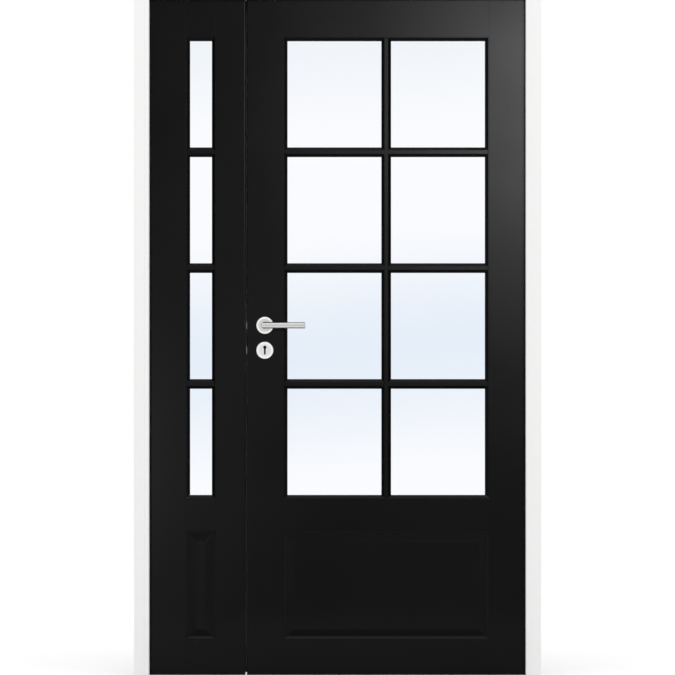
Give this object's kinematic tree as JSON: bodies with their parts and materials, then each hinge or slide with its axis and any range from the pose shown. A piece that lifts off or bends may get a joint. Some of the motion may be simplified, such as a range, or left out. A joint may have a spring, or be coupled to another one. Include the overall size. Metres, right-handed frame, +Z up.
{
  "type": "unequal double door",
  "caption": "Unequal double door: a wide and a narrow glazed leaf with glazing bars and raised panels, hinged in a plain frame, with a lever handle and keyhole plate.",
  "frame": {"origin": "middle of the left jamb's foot taken with its stop, on the floor, at the middle of the frame's depth", "axes": "+X to the right across the doorway seen from the pictured side, +Y through the doorway the way the leaves open, +Z up"},
  "size_m": [1.22, 0.1555, 2.087],
  "materials": {
    "frame_paint": "satin white paint on timber",
    "frame_seal": "soft pale rubber",
    "hinge_steel": "satin steel",
    "leaf_paint": "satin black paint on timber",
    "glass": "clear, very pale blue",
    "lock_steel": "satin steel",
    "lever_steel": "satin stainless steel",
    "meeting_seal": "soft black rubber"
  },
  "bodies": {
    "frame": {"left_jamb": "frame_paint", "right_jamb": "frame_paint", "head": "frame_paint", "door_stops": "frame_paint", "frame_seal": "frame_seal", "left_frame_hinges": "hinge_steel", "right_frame_hinges": "hinge_steel"},
    "side_leaf": {"side_hinge_stile": "leaf_paint", "side_meeting_stile": "leaf_paint", "side_top_rail": "leaf_paint", "side_mid_rail": "leaf_paint", "side_bottom_rail": "leaf_paint", "side_panel": "leaf_paint", "side_panel_moulding": "leaf_paint", "side_glazing_moulding": "leaf_paint", "side_cross_bars": "leaf_paint", "side_glass": "glass", "side_leaf_hinges": "hinge_steel", "strike_plate": "lock_steel", "flush_bolts": "lock_steel", "meeting_seal": "meeting_seal"},
    "main_leaf": {"main_hinge_stile": "leaf_paint", "main_lock_stile": "leaf_paint", "main_top_rail": "leaf_paint", "main_mid_rail": "leaf_paint", "main_bottom_rail": "leaf_paint", "main_panel": "leaf_paint", "main_panel_moulding": "leaf_paint", "main_glazing_moulding": "leaf_paint", "main_upright_bars": "leaf_paint", "main_cross_bars": "leaf_paint", "main_glass": "glass", "main_leaf_hinges": "hinge_steel", "lock_faceplate": "lock_steel", "lock_bolts": "lock_steel", "front_rose": "lever_steel", "back_rose": "lever_steel", "front_key_plate": "lever_steel", "back_key_plate": "lever_steel"},
    "lever": {"front_lever": "lever_steel", "back_lever": "lever_steel", "spindle": "lock_steel"}
  },
  "joints": [
    {"name": "side_leaf_swing", "type": "hinge", "parent": "frame", "child": "side_leaf", "pos_m": [0.012, 0.053, 1.05], "axis": [0, 0, 1], "range_deg": [0, 110]},
    {"name": "main_leaf_swing", "type": "hinge", "parent": "frame", "child": "main_leaf", "pos_m": [1.163, 0.053, 1.05], "axis": [0, 0, -1], "range_deg": [0, 110]},
    {"name": "lever_turn", "type": "hinge", "parent": "main_leaf", "child": "lever", "pos_m": [0.369, 0.026, 1.062], "axis": [0, 1, 0], "range_deg": [0, 40], "stiffness_Nm_per_rad": 1.2, "springref_deg": -20.05}
  ]
}
